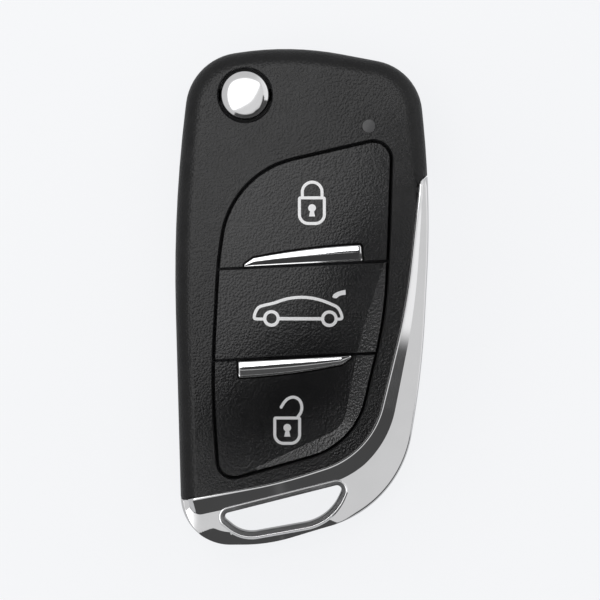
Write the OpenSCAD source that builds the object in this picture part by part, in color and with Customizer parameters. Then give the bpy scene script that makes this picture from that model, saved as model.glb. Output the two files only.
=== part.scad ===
// Flip-out car key fob: two black shell halves, a chrome trim with a keyring slot, three keypad
// caps, a round release button and a blade that folds into the left side.
// Millimetres. The back lies on z = 0, the keypad faces +z and the keyring end points to -y.

/* [Body] */
// Overall width across the shells and the trim
body_w = 38.3; // [35:0.1:42]
// Overall length from the head end to the keyring end
body_l = 75; // [68:0.5:82]
// Thickness of the closed shells
body_t = 14; // [13.5:0.1:15.5]
// Rounding of the shells' outer edges
edge_r = 2.7; // [1.6:0.1:3.2]
// Side wall between the outline and the circuit board
wall = 1.6; // [1.3:0.1:2]
// Floor of the rear shell
floor_t = 1.5; // [1.2:0.1:1.9]
// Front face around the keypad
face_t = 1.4; // [1:0.1:1.6]
// Chamfer round the openings in the front face
edge_break = 0.2; // [0.1:0.05:0.3]
// Joint line between fixed neighbours
seam = 0.08; // [0.05:0.01:0.12]
// Loose fit of a piece in its seat
fit = 0.15; // [0.1:0.01:0.2]

/* [Chrome trim] */
// Flat lip beside the black shells
lip_w = 0.35; // [0.25:0.05:0.6]
// Height of the lip above the front face
lip_rise = 0.15; // [0:0.05:0.3]
// Width of the bevel where it is widest
bevel_w = 2.1; // [1.5:0.1:2.5]
// Drop of the bevel where it is deepest
bevel_drop = 1.7; // [1.4:0.1:3]
// Share of the trim's length over which the bevel grows
bevel_run = 0.6; // [0.4:0.05:0.8]
// Fall of the flange from the bevel to its outer edge
crown = 0.3; // [0:0.05:0.5]
// Rounding of the flange's outer edge
flange_r = 1.2; // [0.8:0.1:1.6]
// Width of the slanted face on the bar under the keyring slot
bar_face_w = 1.1; // [0.8:0.05:1.5]
// Slant of that face
bar_slant = 40; // [25:1:50]
// Depth of the tongue held between the shells
tongue_d = 0.8; // [0.5:0.05:1]
// Thickness of that tongue
tongue_t = 1.6; // [1:0.1:2.2]
// Width of the chamfer round the keyring slot
slot_chamfer = 0.8; // [0.5:0.05:1]
// Depth of that chamfer
slot_chamfer_d = 0.8; // [0.5:0.05:1.2]

/* [Keypad] */
// Line around the keypad
pad_gap = 0.4; // [0.35:0.05:0.6]
// Line between neighbouring caps
cap_gap = 0.45; // [0.3:0.05:0.6]
// Height of the caps above the face
cap_rise = 0.1; // [0:0.05:0.4]
// Rim that keeps the caps under the face
cap_rim = 0.5; // [0.3:0.05:0.6]
// Thickness of that rim
cap_rim_t = 0.9; // [0.7:0.05:1]
// Play of the rim under the face
cap_play = 0.1; // [0.05:0.01:0.15]
// Height of the upper line at the middle of the pad
upper_line_y = 4.8; // [4:0.1:5.5]
// Height of the lower line at the middle of the pad
lower_line_y = -9; // [-10:0.1:-8]
// Tilt of both lines
line_tilt = 2.7; // [0:0.1:5]
// Travel of a cap
press_travel = 0.6; // [0.4:0.05:0.7]
// Fall of the lower caps beyond their crease
roll_tilt = 8; // [0:0.5:12]
// Silicone mat under the caps
mat_t = 1; // [0.8:0.05:1.2]
// Length of the upper accent bar
accent_l = 17.8; // [15:0.1:19]
// Length of the lower accent bar
lower_accent_l = 17.1; // [15:0.1:19]
// Width of an accent bar at its wide end
accent_w = 2.5; // [2:0.1:3]
// Width of an accent bar at its narrow end
accent_tip_w = 1; // [0.8:0.05:1.4]
// Crest of an accent bar above its cap
accent_rise = 0.6; // [0.4:0.05:1]
// Bed of an accent bar below the cap's top
accent_bed = 0.6; // [0.4:0.05:0.8]
// Gap round an accent bar in its cap
accent_gap = 0.26; // [0.1:0.02:0.3]
// Slant of an accent bar's narrow end
accent_slant = 1.5; // [0.5:0.1:2.5]
// Rounding of an accent bar's upper corner
accent_corner = 0.45; // [0.2:0.05:0.6]
// Wide end of the upper bar
upper_accent_x = 9.1; // [8:0.1:10]
// Wide end of the lower bar
lower_accent_x = -9.7; // [-10.5:0.1:-8.5]
// Status light window
window_d = 1.9; // [1.5:0.1:2.5]

/* [Flip mechanism] */
// Pivot from the left edge
pivot_in_x = 10.55; // [10.2:0.05:11]
// Pivot from the head end
pivot_in_y = 7; // [6.8:0.1:8]
// Release button
release_d = 7.3; // [6.8:0.1:7.5]
// Crest of the release button above the face
release_rise = 1.2; // [0.8:0.1:1.6]
// Gap round the release button
release_gap = 0.42; // [0.3:0.02:0.5]
// Travel of the release button
release_travel = 2; // [1.6:0.1:2.1]
// Keys that turn the head with the release button
key_w = 1.6; // [1.2:0.1:2]
// Reach of those keys from the axis
key_reach = 4.65; // [4.6:0.05:4.7]
// Hub of the flip head
hub_d = 12; // [11.8:0.1:12.2]
// Thickness of the hub
hub_t = 6.8; // [6.4:0.1:7]
// Journals that turn in the shells
journal_d = 11; // [10.9:0.05:11.2]
// Height of the front journal
front_journal_t = 1.5; // [1.2:0.1:1.6]
// Height of the rear journal
rear_journal_t = 1.2; // [0.8:0.1:1.3]
// Running fit of turning and sliding pieces, all round
run_fit = 0.05; // [0.03:0.01:0.08]
// Play at the faces of the head
face_play = 0.15; // [0.1:0.01:0.25]
// Neck of the head that holds the blade
neck_w = 9.2; // [8.8:0.1:9.6]
// Thickness of the neck
neck_t = 4.8; // [4.4:0.1:5.2]
// Length of the neck from the pivot
neck_l = 13; // [12.5:0.1:14]
// Blade centreline left of the pivot
blade_offset = 4.6; // [4.4:0.1:5]
// Width of the blade
blade_w = 8.2; // [7.6:0.1:8.6]
// Thickness of the blade
blade_t = 2.2; // [1.8:0.1:2.6]
// Length of the blade beyond the neck
blade_l = 42; // [36:0.5:47]
// Grooves along the blade
groove_w = 1.7; // [1.2:0.1:2.2]
// Depth of each groove
groove_d = 0.6; // [0.3:0.05:0.7]
// Tang of the blade inside the neck
tang_w = 6; // [5:0.1:6.4]
// Length of the tang
tang_l = 5; // [4:0.1:5.4]
// Roll pin through the tang
pin_d = 1.5; // [1.2:0.1:2]
// Wire of the flip spring
wire_d = 0.6; // [0.4:0.05:0.7]
// Mean diameter of the flip spring
coil_d = 4.2; // [4:0.05:4.4]
// Turns of the flip spring
coil_turns = 6; // [4:1:7]

/* [Electronics] */
// Coin cell
cell_d = 20; // [16:0.1:20.2]
// Thickness of the coin cell
cell_t = 3.2; // [2.4:0.1:3.3]
// Middle of the coin cell from the right edge
cell_in_x = 16.3; // [15.6:0.1:16.4]
// Middle of the coin cell along the fob
cell_y = 3; // [1:0.5:5]
// Sheet metal of the contacts
contact_t = 0.3; // [0.2:0.05:0.35]
// Room between the coin cell and the board
cell_room = 1.6; // [1.3:0.1:1.8]
// Circuit board
board_t = 1; // [0.8:0.1:1.2]
// Ledge that carries the board
ledge_w = 1.2; // [0.8:0.1:1.4]
// Partition between the blade slot and the electronics
rib_w = 1.2; // [0.9:0.1:1.3]
// Body of a push switch
switch_w = 4.5; // [4:0.1:5]
// Height of that body
switch_h = 1.8; // [1.6:0.1:2]
// Dowels that line up the shells at the head end
dowel_d = 2; // [1.5:0.1:2.2]
// Plunger of a push switch
plunger_d = 1.8; // [1.4:0.1:2.2]
// Status light
led_size = [1.6, 1.2, 0.7]; // [0.5:0.1:2]
// Control chip
chip_size = [5, 5, 0.9]; // [0.5:0.1:6]
// Radio crystal
crystal_size = [3.2, 2.5, 0.8]; // [0.5:0.1:5]
// Winding of the antenna coil
winding_size = [6.4, 2.8, 2.6]; // [2:0.1:8]
// Ferrite core of the antenna coil
core_size = [9, 2.2, 2]; // [1:0.1:10]
// Transponder
transponder_size = [11, 5.5, 3]; // [2:0.1:12]

/* [Hidden] */
$fn = 72;
// Greatest distance between an arc and its chords
curve_tol = 0.012;
trim_steps = 80;
edge_steps = 6;

left = -body_w / 2;
right = body_w / 2;
top = body_l / 2;
bottom = -body_l / 2;

// Heights through the stack, from the back
cell_z = floor_t + contact_t;
board_z = cell_z + cell_t + cell_room;
board_top = board_z + board_t;
split_z = board_z + board_t / 2;
cap_rim_top = body_t - face_t - cap_play;
cap_z = cap_rim_top - cap_rim_t;
mat_z = cap_z - mat_t;
cap_top = body_t + cap_rise;
switch_top = board_top + switch_h;
hub_z = split_z - hub_t / 2;
hub_top = split_z + hub_t / 2;
journal_z = hub_z - rear_journal_t;
journal_top = hub_top + front_journal_t;
bore_z = journal_z - face_play;
shoulder_z = journal_top + face_play + 0.1;

// Places in plan
pivot = [left + pivot_in_x, top - pivot_in_y];
hub_r = hub_d / 2;
hub_room_r = hub_r + 2 * fit;
journal_r = journal_d / 2;
release_r = release_d / 2;
release_bore_r = release_r + run_fit;
blade_x = pivot.x - blade_offset;
slot_x = blade_x + blade_w / 2 + 2 * fit;
rib_x = slot_x + rib_w;
neck_left = blade_x - neck_w / 2;
neck_right = blade_x + blade_w / 2;
neck_end = pivot.y - neck_l;
tip_y = neck_end - blade_l;
tang_top = neck_end + tang_l;
pin_at = [blade_x, neck_end + tang_l / 2];
board_end = pivot.y - 2.2;
cell_at = [right - cell_in_x, cell_y];
window_at = [right - 9.05, top - 11.7];
lock_at = [1.5, top - 23.4];
boot_at = [-0.6, -1.7];
unlock_at = [-2.1, bottom + 18.9];
chip_at = [right - 11.65, 6];
crystal_at = [right - 11.65, -4.5];
coil_at = [1, bottom + 21];
transponder_at = [right - 9.5, board_end - ledge_w - fit - transponder_size.y / 2];
dowels = [[right - 6.65, top - 5.6], [right - 12.6, top - 4.2]];

// Outlines as corners [x, y, radius], clockwise, tied to the four sides of the fob
body_corners = [
    [left + 2.4, top - 1.62, 8.7],
    [-1.7, top + 0.69, 46],
    [right - 1.6, top - 2.97, 8.3],
    [right + 0.38, top - 22.7, 153],
    [right - 0.96, bottom + 26.6, 137],
    [right - 4.32, bottom + 6.05, 17.2],
    [-5.1, bottom + 0.03, 25.8],
    [left + 1, bottom - 0.02, 7.5],
    [left - 0.36, top - 24.3, 207]];
rail_corners = [
    [right - 0.45, top - 19.45, 0],
    [right - 1.38, top - 20.3, 0.9],
    [right - 3.5, bottom + 35.9, 105],
    [right - 8.86, bottom + 13.95, 12.9],
    [-3.2, bottom + 9.6, 75],
    [left + 1.25, bottom + 6.82, 0]];
pad_corners = [
    [right - 5.61, top - 13.32, 2.7],
    [right - 6.06, top - 27.5, 110],
    [right - 6.62, bottom + 34.7, 57],
    [right - 11.18, bottom + 15.22, 11.6],
    [left + 6.66, bottom + 9.62, 2.4],
    [left + 5.61, bottom + 24, 113],
    [left + 6.58, top - 32.3, 53.5],
    [left + 8.54, top - 18.91, 13.9]];
// Crease of the two lower caps, from the keypad's right side to its lower side
crease_corners = [
    [right - 6.5, top - 31.5, 0],
    [right - 10.5, bottom + 31, 60],
    [right - 12.9, bottom + 17.9, 4.5],
    [-7, bottom + 11.7, 0]];
slot_corners = [
    [-12.55, bottom + 4.57, 0.7],
    [6.6, bottom + 9.4, 0.75],
    [4.15, bottom + 3.96, 7.1],
    [-8.9, bottom + 1.63, 4.7]];

// Plan geometry
function xy(c) = [c.x, c.y];
function unit(v) = v / norm(v);
function turned(v, a) = [v.x * cos(a) - v.y * sin(a), v.x * sin(a) + v.y * cos(a)];

// Arc of radius r in place of corner b between its neighbours a and c
function bend(a, b, c, r, tol = curve_tol) =
    let (
        u = unit(a - b),
        v = unit(c - b),
        half = acos(u * v) / 2,
        o = b + unit(u + v) * r / sin(half),
        start = b + u * r / tan(half) - o,
        sweep = (180 - 2 * half) * sign(cross(v, u)),
        n = max(1, ceil(abs(sweep) / (2 * acos(1 - tol / r)))))
    [for (i = [0 : n]) o + turned(start, sweep * i / n)];

// Length that the arc at corner b takes from each of its sides
function reach(a, b, c, r) = r == 0 ? 0 : r / tan(acos(unit(a - b) * unit(c - b)) / 2);

// Radius at corner c of five corners in a row, limited by the two sides that it shares
function limited(a, b, c, d, e) =
    let (
        own = reach(xy(b), xy(c), xy(d), c.z),
        before = own + reach(xy(a), xy(b), xy(c), b.z),
        after = own + reach(xy(c), xy(d), xy(e), d.z))
    c.z * min(1, 0.98 * norm(xy(b) - xy(c)) / before, 0.98 * norm(xy(d) - xy(c)) / after);

// Closed outline from its corners
function rounded(c) =
    let (n = len(c))
    [for (i = [0 : n - 1])
        let (k = [for (j = [-2 : 2]) c[(i + n + j) % n]])
        each bend(xy(k[1]), xy(k[2]), xy(k[3]), limited(k[0], k[1], k[2], k[3], k[4]))];

// Open path from its corners, square at both ends
function rounded_path(c, tol = curve_tol) =
    let (n = len(c))
    [xy(c[0]),
     for (i = [1 : n - 2])
        let (k = [for (j = [-2 : 2]) c[max(0, min(n - 1, i + j))]])
        each bend(xy(k[1]), xy(k[2]), xy(k[3]), limited(k[0], k[1], k[2], k[3], k[4]), tol),
     xy(c[n - 1])];

// Normal to the right of the way from a to b, which is inward on a clockwise outline
function right_of(a, b) = let (d = unit(b - a)) [d.y, -d.x];
function mitre(n1, n2) = (n1 + n2) / (1 + n1 * n2);

// Closed outline moved inward by d
function inset(p, d) =
    let (n = len(p))
    [for (i = [0 : n - 1])
        p[i] + d * mitre(right_of(p[(i + n - 1) % n], p[i]), right_of(p[i], p[(i + 1) % n]))];

// Open path moved to its right by d
function shifted(p, d) =
    let (n = len(p))
    [for (i = [0 : n - 1])
        let (
            before = right_of(p[max(i - 1, 0)], p[max(i, 1)]),
            after = right_of(p[min(i, n - 2)], p[min(i + 1, n - 1)]))
        p[i] + d * mitre(before, after)];

function reversed(p) = [for (i = [len(p) - 1 : -1 : 0]) p[i]];

// Length along a path at each of its points
function run(p) =
    [for (i = 0, s = 0; i < len(p); s = s + norm(p[min(i + 1, len(p) - 1)] - p[i]), i = i + 1) s];

// Points of a path at given lengths
function sample(p, marks) =
    let (
        s = run(p),
        tx = [for (i = [0 : len(p) - 1]) [s[i], p[i].x]],
        ty = [for (i = [0 : len(p) - 1]) [s[i], p[i].y]])
    [for (m = marks) [lookup(m, tx), lookup(m, ty)]];

// Length at which the outline passes height y on the given side
function crossing(p, y, side) =
    let (s = run(p))
    [for (i = [0 : len(p) - 2])
        if (p[i].x * side > 0 && (p[i].y - y) * (p[i + 1].y - y) <= 0 && p[i].y != p[i + 1].y)
            s[i] + (s[i + 1] - s[i]) * (p[i].y - y) / (p[i].y - p[i + 1].y)][0];

outline = rounded(body_corners);
loop = concat(outline, [outline[0]]);
rail = rounded_path(rail_corners, curve_tol / 12);
pad = rounded(pad_corners);
slot = rounded(slot_corners);

// The trim lies between its inner rail and the outline from trim_start to trim_end
trim_start = crossing(loop, rail[0].y + 0.12, 1);
trim_end = crossing(loop, rail[len(rail) - 1].y + 0.3, -1);
rail_len = run(rail)[len(rail) - 1];
loop_len = run(loop)[len(loop) - 1];
inner_rail = sample(rail, [for (i = [0 : trim_steps]) rail_len * i / trim_steps]);
outer_rail = sample(
    loop,
    [for (i = [0 : trim_steps]) trim_start + (trim_end - trim_start) * i / trim_steps]);

// Free outline of the shells, from the trim's left end round the head to the trim's tip
loop_run = run(loop);
free_line = concat(
    sample(loop, [trim_end + 3 * seam]),
    [for (i = [0 : len(loop) - 2]) if (loop_run[i] > trim_end + 0.6) loop[i]],
    [for (i = [0 : len(loop) - 2]) if (loop_run[i] < trim_start - 0.6) loop[i]],
    sample(loop, [trim_start - 3 * seam]));

// Part of the rail between two shares of its length
function rail_part(from, to) =
    sample(rail, [for (i = [0 : 40]) rail_len * (from + (to - from) * i / 40)]);

// Middle height of the trim, which is alike on both faces and clears the table
trim_mid = (body_t + lip_rise + 0.05) / 2;

// Drop of the rounded edge at distance d inside the outline
function edge_drop(d) = d >= edge_r ? 0 : edge_r - sqrt(edge_r * edge_r - pow(edge_r - d, 2));

function ease(t) = let (u = max(0, min(1, t))) u * u * (3 - 2 * u);

// The trim's measures at station i: [room to the outline, growth of the bevel, lip height, flange height]
function trim_state(i) =
    let (
        room = norm(outer_rail[i] - inner_rail[i]),
        grown = min(1, i / trim_steps / bevel_run),
        sink = edge_drop(room))
    [room, grown, body_t + lip_rise - sink, body_t + lip_rise - max(bevel_drop * grown, sink + 0.05)];

// Front half of a section mirrored to the back and set up at point a along direction d
function trim_section(a, d, half) =
    [for (p = concat(half, [for (q = reversed(half)) [q.x, 2 * trim_mid - q.y]]))
        [a.x + d.x * p.x, a.y + d.y * p.x, p.y]];

// Lip and bevel, square to the rail
function ridge_section(i) =
    let (
        t = trim_state(i),
        before = inner_rail[max(i - 1, 0)],
        after = inner_rail[min(i + 1, trim_steps)],
        lip = i < trim_steps / 2 ? min(lip_w, 0.2 * t[0]) : lip_w,
        foot = lip + (i < trim_steps / 2 ? min(bevel_w * t[1], 0.35 * t[0]) : bevel_w * t[1]),
        dip = 0.2)
    trim_section(
        inner_rail[i],
        -right_of(before, after),
        [[0, t[2]], [lip, t[2]], [foot + dip * bevel_w / bevel_drop, t[3] - dip]]);

// Flange between the ridge and the outline; its rounded edge becomes a slanted face on the bar under the slot
function flange_section(i) =
    let (
        t = trim_state(i),
        a = inner_rail[i],
        b = outer_rail[i],
        w = t[0],
        bar_from = slot_corners[0].x - 3,
        bar_to = slot_corners[1].x - 0.6,
        bar = ease((bar_to - b.x) / 2) * ease((b.x - bar_from) / 1.5) * ease((bottom + 9 - b.y) / 3),
        r = min(flange_r, 0.8 * w),
        face_w = bar_face_w * (1 + 0.6 * (b.x - bar_from) / (bar_to - bar_from)),
        e = bar_face_w / 3,
        fall = (face_w - e) * tan(bar_slant),
        rim_z = t[3] - crown * t[1],
        edge = [for (k = [0 : 4]) [w - r + r * sin(22.5 * k), rim_z - r + r * cos(22.5 * k)]],
        face = [
            [w - face_w, rim_z],
            [w - (face_w + e) / 2, rim_z - fall / 2],
            [w - e, rim_z - fall],
            [w - 0.3 * e, rim_z - fall - 0.4 * e],
            [w, rim_z - fall - e]])
    trim_section(
        a,
        (b - a) / w,
        concat(
            [[0.1 * min(1, w), t[3]]],
            [for (k = [0 : 4]) edge[k] * (1 - bar) + face[k] * bar]));

function raised(p, z) = [for (q = p) [q.x, q.y, z]];

// Solid through rings of equal length, each clockwise seen from the last one
module loft(rings) {
    n = len(rings[0]);
    m = len(rings);
    polyhedron(
        points = [for (r = rings) each r],
        faces = [
            [for (i = [n - 1 : -1 : 0]) i],
            [for (i = [0 : n - 1]) (m - 1) * n + i],
            for (k = [0 : m - 2], i = [0 : n - 1])
                let (a = k * n + i, b = k * n + (i + 1) % n)
                each [[a, b, b + n], [a, b + n, a + n]]]);
}

// Closed tube through rings that follow one another round its section
module ring_loft(rings) {
    n = len(rings[0]);
    m = len(rings);
    polyhedron(
        points = [for (r = rings) each r],
        faces = [
            for (k = [0 : m - 1], i = [0 : n - 1])
                let (
                    a = k * n + i,
                    b = k * n + (i + 1) % n,
                    c = ((k + 1) % m) * n + (i + 1) % n,
                    d = ((k + 1) % m) * n + i)
                each [[a, b, c], [a, c, d]]]);
}

// Prism on an outline between two heights
module slab(points, z0, z1) {
    translate([0, 0, z0])
        linear_extrude(z1 - z0)
            polygon(points);
}

module disc(at, r, z0, z1) {
    translate([at.x, at.y, z0])
        cylinder(r = r, h = z1 - z0);
}

module block(at, size, z0) {
    translate([at.x - size.x / 2, at.y - size.y / 2, z0])
        cube(size);
}

// Plan of the shells beside the trim
module shell_plan() {
    polygon(concat(free_line, shifted(inner_rail, seam)));
}

// Plan of the board's recess, d inside it all round
module board_plan(d) {
    difference() {
        intersection() {
            polygon(inset(outline, wall + d));
            polygon(concat(
                [[right, top]],
                shifted(rail_part(0.04, 0.94), wall + d),
                [[left, bottom + 12], [left, top]]));
            translate([rib_x + d, bottom])
                square([body_w, board_end - d - bottom]);
        }
        translate(pivot)
            circle(r = hub_room_r + rib_w + d);
    }
}

// Band along the rail, from its trim side to its shell side
module rail_band(out, in, margin) {
    band = rail_part(0.06 - margin, 0.92 + margin);
    polygon(concat(shifted(band, -out), reversed(shifted(band, in))));
}

// Plan of the neck, from the hub to the blade's shoulder
module neck_plan() {
    intersection() {
        polygon(inset(outline, 0.6));
        translate([neck_left, neck_end])
            square([neck_right - neck_left, neck_l]);
    }
}

// Room in the shells for the flip head and the blade through their half turn
module flip_room() {
    side = pivot.x - neck_left + 2 * fit;
    sweep_r = norm([neck_left - pivot.x, neck_l]) + 2 * fit;
    disc(pivot, hub_room_r, hub_z - face_play, hub_top + face_play);
    disc(pivot, journal_r + run_fit, bore_z, journal_top + face_play + 0.1);
    translate([0, 0, split_z - neck_t / 2 - face_play])
        linear_extrude(neck_t + 2 * face_play) {
            translate([left - 2, pivot.y - 2 * fit])
                square([pivot.x + side - left + 2, top - pivot.y + 4]);
            translate([left - 2, neck_end - 2 * fit])
                square([slot_x - left + 2, neck_l]);
            intersection() {
                translate(pivot)
                    circle(r = sweep_r);
                translate([left - 2, neck_end - 2 * fit])
                    square([slot_x - left + 2, body_l]);
            }
        }
    blade_room();
}

// Slot in the left side that the blade folds into
module blade_room() {
    translate([left - 2, tip_y - 4 * fit, split_z - blade_t / 2 - 2 * fit])
        cube([slot_x - left + 2, blade_l + neck_l, blade_t + 4 * fit]);
}

// What the rounding takes off along the outline below a face at z1, which looks up or down
module edge_cutter(z1, way) {
    spare = 0.03;
    rings = concat(
        [raised(inset(outline, -1.5), z1 + way * 1.5)],
        [for (k = [edge_steps : -1 : 0])
            let (a = 90 * k / edge_steps)
            raised(
                inset(outline, (edge_r + spare) * (1 - cos(a)) - spare),
                z1 + way * (spare - (edge_r + spare) * (1 - sin(a))))]);
    ring_loft(way > 0 ? rings : reversed(rings));
}

// Outer form of a shell from the split to its face at z1
module shell_form(z1, way) {
    difference() {
        translate([0, 0, min(split_z, z1)])
            linear_extrude(abs(z1 - split_z))
                shell_plan();
        edge_cutter(z1, way);
    }
}

// Black plastic
plastic = [0.07, 0.07, 0.08];
chrome = [0.8, 0.8, 0.82];
steel = [0.6, 0.6, 0.62];

module front_shell() {
    color(plastic) {
        difference() {
            shell_form(body_t, 1);
            flip_room();
            disc(pivot, release_r + release_gap, shoulder_z - 1, body_t + 1);
            slab(inset(pad, -pad_gap / 2), cap_rim_top, body_t + 1);
            loft([
                raised(inset(pad, -pad_gap / 2 + edge_break), body_t - 2 * edge_break),
                raised(inset(pad, -pad_gap / 2 - 2 * edge_break), body_t + edge_break)]);
            translate([pivot.x, pivot.y, body_t - edge_break])
                cylinder(
                    r1 = release_r + release_gap,
                    r2 = release_r + release_gap + 2 * edge_break,
                    h = 2 * edge_break);
            slab(inset(pad, -pad_gap / 2 - cap_rim - fit), mat_z, body_t - face_t);
            translate([0, 0, board_top])
                linear_extrude(mat_z - board_top + 0.1)
                    intersection() {
                        polygon(inset(pad, ledge_w));
                        translate([rib_x, bottom])
                            square([body_w, body_l]);
                    }
            translate([0, 0, split_z - 1])
                linear_extrude(board_top - split_z + 1 + seam)
                    board_plan(0);
            disc(window_at, window_d / 2 + seam, board_top, body_t + 1);
            block(window_at, led_size + [1, 1, 0.4], board_top);
            translate([0, 0, split_z - 1])
                linear_extrude(1 + tongue_t / 2 + seam)
                    rail_band(1, tongue_d + seam, 0.01);
        }
        for (d = dowels)
            disc(d, dowel_d / 2, split_z - 2.5, split_z + 0.5);
    }
}

module rear_shell() {
    color(plastic) {
        difference() {
            shell_form(0, -1);
            flip_room();
            translate([0, 0, floor_t])
                linear_extrude(split_z)
                    board_plan(ledge_w);
            disc(cell_at, cell_d / 2 + fit, floor_t, split_z + 1);
            translate([0, 0, board_z])
                linear_extrude(split_z)
                    board_plan(0);
            translate([0, 0, split_z - tongue_t / 2 - seam])
                linear_extrude(tongue_t)
                    rail_band(1, tongue_d + seam, 0.01);
            for (d = dowels)
                disc(d, dowel_d / 2 + seam, split_z - 2.5 - fit, split_z + 1);
        }
        disc(pivot, coil_d / 2 - wire_d / 2 - 2 * fit, bore_z - 0.2, hub_top - release_travel + 1);
    }
}

module chrome_trim() {
    flange_top = body_t + lip_rise - bevel_drop - crown / 2;
    rise = 2 * slot_chamfer_d;
    wide = inset(slot, -2 * slot_chamfer);
    low = 2 * trim_mid - flange_top + slot_chamfer_d;
    high = flange_top - slot_chamfer_d;
    color(chrome)
        difference() {
            union() {
                loft([for (i = [0 : trim_steps]) flange_section(i)]);
                loft([for (i = [0 : trim_steps - 1]) ridge_section(i)]);
                translate([0, 0, split_z - tongue_t / 2])
                    linear_extrude(tongue_t)
                        rail_band(lip_w / 2, tongue_d, 0);
            }
            blade_room();
            slab(slot, -1, body_t + 1);
            loft([raised(slot, high), raised(wide, high + rise)]);
            loft([raised(wide, low - rise), raised(slot, low)]);
        }
}

// Clear light pipe from the front face down to the light
module light_window() {
    color([0.75, 0.78, 0.8])
        disc(window_at, window_d / 2, board_top + led_size.z + fit, body_t);
}

// Plan of the caps between two tilted lines through heights y0 and y1
module between_lines(y0, y1) {
    slope = tan(line_tilt);
    intersection() {
        children();
        polygon([
            [left, y0 + slope * left],
            [left, y1 + slope * left],
            [right, y1 + slope * right],
            [right, y0 + slope * right]]);
    }
}

// What the fall beyond the crease takes off the caps
module crease_cutter() {
    crease = rounded_path(crease_corners);
    fall = tan(roll_tilt);
    inner = shifted(crease, 0.5);
    outer = shifted(crease, -8);
    loft([for (i = [0 : len(crease) - 1]) [
        [inner[i].x, inner[i].y, cap_top + 0.5 * fall],
        [inner[i].x, inner[i].y, cap_top + 2],
        [outer[i].x, outer[i].y, cap_top + 2],
        [outer[i].x, outer[i].y, cap_top - 8 * fall]]]);
}

module cap(y0, y1) {
    translate([0, 0, cap_z])
        linear_extrude(cap_rim_t)
            between_lines(y0, y1)
                polygon(inset(pad, -pad_gap / 2 - cap_rim));
    translate([0, 0, cap_rim_top - 0.1])
        linear_extrude(cap_top - cap_rim_top + 0.1)
            between_lines(y0, y1)
                polygon(inset(pad, pad_gap / 2));
}

// Width of an accent bar of length l at distance u from its wide end
function accent_width(u, l) =
    let (c = accent_corner, corner = u < c ? c - sqrt(c * c - pow(c - u, 2)) : 0)
    min(
        accent_w - (accent_w - accent_tip_w) * pow(u / l, 2),
        0.3 + accent_tip_w * (l - u) / accent_slant) - corner;

// Distances from the wide end at which an accent bar is drawn
function accent_marks(l) = [
    for (k = [0 : 2]) accent_corner * (1 - cos(30 * k)),
    for (i = [0 : 12]) accent_corner + (l - accent_slant - accent_corner) * i / 12,
    l - accent_slant / 2,
    l];

// Accent bar with its wide end at the origin, running to -x and resting on y = 0
module accent(l) {
    rotate(line_tilt)
        loft([for (u = accent_marks(l))
            let (w = accent_width(u, l), lift = accent_rise * w / accent_w)
            [[-u, 0, cap_top - accent_bed],
             [-u, w, cap_top - accent_bed],
             for (k = [6 : -1 : 0])
                [-u, w / 2 * (1 - cos(30 * k)), cap_top + lift * sin(30 * k)]]]);
}

// Bed of the bar in its cap, open towards the line beside it
module accent_recess(l) {
    g = accent_gap;
    rotate(line_tilt)
        slab(
            concat(
                [[g, -cap_gap], [g, accent_width(0, l)]],
                [for (u = accent_marks(l)) [g * max(0, 1 - u / accent_corner) - u, accent_width(u, l) + g]],
                [[-l - g, accent_width(l, l)], [-l - g, -cap_gap]]),
            cap_top - accent_bed,
            cap_top + 1);
}

module upper_accent_place() {
    translate([upper_accent_x, upper_line_y + cap_gap / 2 + tan(line_tilt) * upper_accent_x, 0])
        children();
}

module lower_accent_place() {
    translate([lower_accent_x, lower_line_y - cap_gap / 2 + tan(line_tilt) * lower_accent_x, 0])
        rotate(180)
            children();
}

module lock_button() {
    color(plastic)
        difference() {
            cap(upper_line_y + cap_gap / 2, top);
            upper_accent_place()
                accent_recess(accent_l);
        }
}

module boot_button() {
    color(plastic)
        difference() {
            cap(lower_line_y + cap_gap / 2, upper_line_y - cap_gap / 2);
            crease_cutter();
        }
}

module unlock_button() {
    color(plastic)
        difference() {
            cap(bottom, lower_line_y - cap_gap / 2);
            crease_cutter();
            lower_accent_place()
                accent_recess(lower_accent_l);
        }
}

module upper_accent() {
    color(chrome)
        upper_accent_place()
            accent(accent_l);
}

module lower_accent() {
    color(chrome)
        lower_accent_place()
            accent(lower_accent_l);
}

module silicone_mat() {
    color([0.2, 0.2, 0.22])
        slab(inset(pad, -pad_gap / 2 - cap_rim), mat_z, cap_z);
}

module plunger(at) {
    color([0.85, 0.85, 0.83])
        disc(at, plunger_d / 2, switch_top - 0.3, mat_z);
}

module lock_plunger() {
    plunger(lock_at);
}

module boot_plunger() {
    plunger(boot_at);
}

module unlock_plunger() {
    plunger(unlock_at);
}

module push_switch(at) {
    color(steel)
        difference() {
            block(at, [switch_w, switch_w, switch_h], board_top);
            disc(at, plunger_d / 2 + run_fit, switch_top - 0.3 - press_travel - fit, switch_top + 1);
        }
}

module lock_switch() {
    push_switch(lock_at);
}

module boot_switch() {
    push_switch(boot_at);
}

module unlock_switch() {
    push_switch(unlock_at);
}

module circuit_board() {
    color([0.05, 0.3, 0.15])
        translate([0, 0, board_z])
            linear_extrude(board_t)
                board_plan(fit);
}

module status_led() {
    color([0.9, 0.88, 0.7])
        block(window_at, led_size, board_top);
}

module control_chip() {
    color([0.1, 0.1, 0.1])
        block(chip_at, chip_size, board_top);
}

module radio_crystal() {
    color(steel)
        block(crystal_at, crystal_size, board_top);
}

// Ferrite bar with a winding, under the board
module antenna_coil() {
    color([0.25, 0.2, 0.18]) {
        gap = (winding_size.z - core_size.z) / 2;
        block(coil_at, core_size, board_z - gap - core_size.z);
        block(coil_at, winding_size, board_z - winding_size.z);
        for (side = [-1, 1])
            block(
                [coil_at.x + side * (core_size.x / 2 - 0.5), coil_at.y],
                [1, core_size.y, 2 * gap],
                board_z - 2 * gap);
    }
}

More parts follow.
